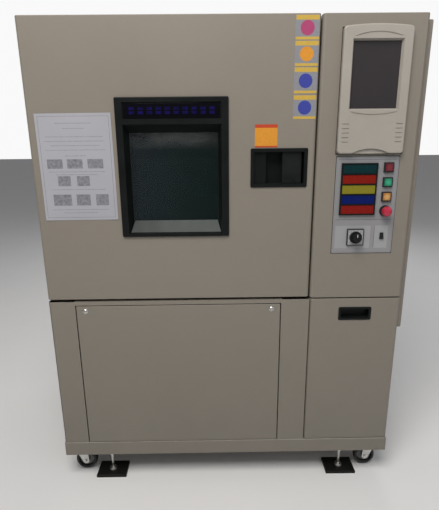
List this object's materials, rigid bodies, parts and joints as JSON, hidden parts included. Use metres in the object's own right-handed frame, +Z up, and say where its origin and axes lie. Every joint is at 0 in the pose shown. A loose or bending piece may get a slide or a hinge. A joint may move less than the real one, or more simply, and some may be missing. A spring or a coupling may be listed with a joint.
{
  "type": "environmental test chamber",
  "caption": "Upright temperature and humidity test chamber with an insulated window door, a touch-screen control column, a service panel and a water tank drawer.",
  "frame": {"origin": "on the floor, under the middle of the whole machine", "axes": "+Z up, -Y out of the front, +X to the right of someone facing the front"},
  "size_m": [1.13, 1.0394, 1.45],
  "materials": {
    "painted_steel": "fine orange-peel powder coat",
    "galvanised_steel": "galvanised",
    "stainless_steel": "brushed stainless",
    "foam": "rigid polyurethane foam",
    "silicone": "soft silicone",
    "glass": "clear",
    "black_plastic": "fine grain",
    "ivory_plastic": "satin moulded",
    "screen": "satin dark screen",
    "printed_plate": "satin printed",
    "lens_plastic": "tinted acrylic",
    "red_plastic": "gloss",
    "green_plastic": "gloss",
    "amber_plastic": "gloss",
    "zinc_steel": "bright zinc",
    "black_steel": "satin black",
    "fin_aluminium": "mill",
    "tank_plastic": "milky polyethylene",
    "wheel_rubber": "matt"
  },
  "bodies": {
    "cabinet": {"left_side_panel": "painted_steel", "right_side_panel": "painted_steel", "right_side_cover": "painted_steel", "top_panel": "painted_steel", "back_panel": "painted_steel", "lower_front_frame": "painted_steel", "service_panel": "painted_steel", "column_fascia": "painted_steel", "base_frame": "painted_steel", "machine_deck": "galvanised_steel", "electrical_plate": "galvanised_steel", "inner_liner": "stainless_steel", "air_baffle": "stainless_steel", "shelf_uprights": "stainless_steel", "wire_shelves": "stainless_steel", "cable_port_sleeve": "stainless_steel", "heater_coil": "stainless_steel", "steam_humidifier": "stainless_steel", "sensor_probes": "stainless_steel", "chamber_insulation": "foam", "signal_frame": "black_plastic", "hmi_bezel": "ivory_plastic", "hmi_screen": "screen", "control_plate": "printed_plate", "signal_lenses": "lens_plastic", "hinge_brackets": "zinc_steel", "levelling_bolts": "zinc_steel", "service_panel_screws": "zinc_steel", "rear_fittings": "zinc_steel", "levelling_pads": "black_steel", "compressor": "black_steel", "circulation_motor": "black_steel", "evaporator": "fin_aluminium", "condenser": "fin_aluminium"},
    "door": {"door_skin": "painted_steel", "door_insulation": "foam", "door_inner_pan": "stainless_steel", "door_gasket": "silicone", "window_frame": "black_plastic", "window_glass": "glass", "handle_tray": "black_plastic"},
    "paddle": {"handle_paddle": "black_plastic"},
    "bolt": {"latch_bolt": "zinc_steel"},
    "drawer": {"drawer_front": "painted_steel", "drawer_pull": "black_plastic", "water_tank": "tank_plastic"},
    "power": {"power_button": "red_plastic"},
    "run": {"run_button": "green_plastic"},
    "reset": {"reset_button": "amber_plastic"},
    "stop": {"emergency_stop": "red_plastic"},
    "timer": {"timer_knob": "black_plastic"},
    "rocker": {"rocker_switch": "black_plastic"},
    "front_left_fork": {"front_left_caster_fork": "black_steel"},
    "front_right_fork": {"front_right_caster_fork": "black_steel"},
    "front_left_wheel": {"front_left_wheel": "wheel_rubber"},
    "front_right_wheel": {"front_right_wheel": "wheel_rubber"},
    "rear_left_wheel": {"rear_left_wheel": "wheel_rubber"},
    "rear_right_wheel": {"rear_right_wheel": "wheel_rubber"},
    "circulation_fan": {"circulation_fan": "stainless_steel"},
    "condenser_fan": {"condenser_fan": "black_plastic"}
  },
  "joints": [
    {"name": "door_hinge", "type": "hinge", "parent": "cabinet", "child": "door", "pos_m": [-0.533, -0.42425, 1.056], "axis": [0, 0, -1], "range_deg": [0, 110]},
    {"name": "paddle_hinge", "type": "hinge", "parent": "door", "child": "paddle", "pos_m": [0.2185, -0.48325, 1.0535], "axis": [0, 0, 1], "range_deg": [0, 35]},
    {"name": "bolt_slide", "type": "slide", "parent": "door", "child": "bolt", "axis": [-1, 0, 0], "range_m": [0, 0.006], "stiffness_N_per_m": 800},
    {"name": "drawer_slide", "type": "slide", "parent": "cabinet", "child": "drawer", "axis": [0, -1, 0], "range_m": [0, 0.3]},
    {"name": "power_press", "type": "slide", "parent": "cabinet", "child": "power", "axis": [0, 1, 0], "range_m": [0, 0.003], "stiffness_N_per_m": 400},
    {"name": "run_press", "type": "slide", "parent": "cabinet", "child": "run", "axis": [0, 1, 0], "range_m": [0, 0.003], "stiffness_N_per_m": 400},
    {"name": "reset_press", "type": "slide", "parent": "cabinet", "child": "reset", "axis": [0, 1, 0], "range_m": [0, 0.003], "stiffness_N_per_m": 400},
    {"name": "stop_press", "type": "slide", "parent": "cabinet", "child": "stop", "axis": [0, 1, 0], "range_m": [0, 0.005], "stiffness_N_per_m": 600},
    {"name": "timer_turn", "type": "hinge", "parent": "cabinet", "child": "timer", "pos_m": [0.387, -0.49905, 0.8495], "axis": [0, 1, 0], "range_deg": [0, 300]},
    {"name": "rocker_tilt", "type": "hinge", "parent": "cabinet", "child": "rocker", "pos_m": [0.466, -0.48975, 0.8525], "axis": [-1, 0, 0], "range_deg": [0, 20]},
    {"name": "front_left_swivel", "type": "hinge", "parent": "cabinet", "child": "front_left_fork", "pos_m": [-0.511, -0.43425, 0.095], "axis": [0, 0, 1], "continuous": true},
    {"name": "front_right_swivel", "type": "hinge", "parent": "cabinet", "child": "front_right_fork", "pos_m": [0.511, -0.43425, 0.095], "axis": [0, 0, 1], "continuous": true},
    {"name": "front_left_roll", "type": "hinge", "parent": "front_left_fork", "child": "front_left_wheel", "pos_m": [-0.495, -0.43425, 0.0395], "axis": [0, 1, 0], "continuous": true},
    {"name": "front_right_roll", "type": "hinge", "parent": "front_right_fork", "child": "front_right_wheel", "pos_m": [0.495, -0.43425, 0.0395], "axis": [0, 1, 0], "continuous": true},
    {"name": "rear_left_roll", "type": "hinge", "parent": "cabinet", "child": "rear_left_wheel", "pos_m": [-0.495, 0.42975, 0.0395], "axis": [1, 0, 0], "continuous": true},
    {"name": "rear_right_roll", "type": "hinge", "parent": "cabinet", "child": "rear_right_wheel", "pos_m": [0.495, 0.42975, 0.0395], "axis": [1, 0, 0], "continuous": true},
    {"name": "circulation_spin", "type": "hinge", "parent": "cabinet", "child": "circulation_fan", "pos_m": [-0.14375, 0.11295, 1.201], "axis": [0, 1, 0], "continuous": true},
    {"name": "condenser_spin", "type": "hinge", "parent": "cabinet", "child": "condenser_fan", "pos_m": [-0.20375, 0.22275, 0.32375], "axis": [0, 1, 0], "continuous": true}
  ],
  "couplings": [
    {"joint": "paddle_hinge", "follows": "bolt_slide", "rad_per_m": 100.79}
  ]
}
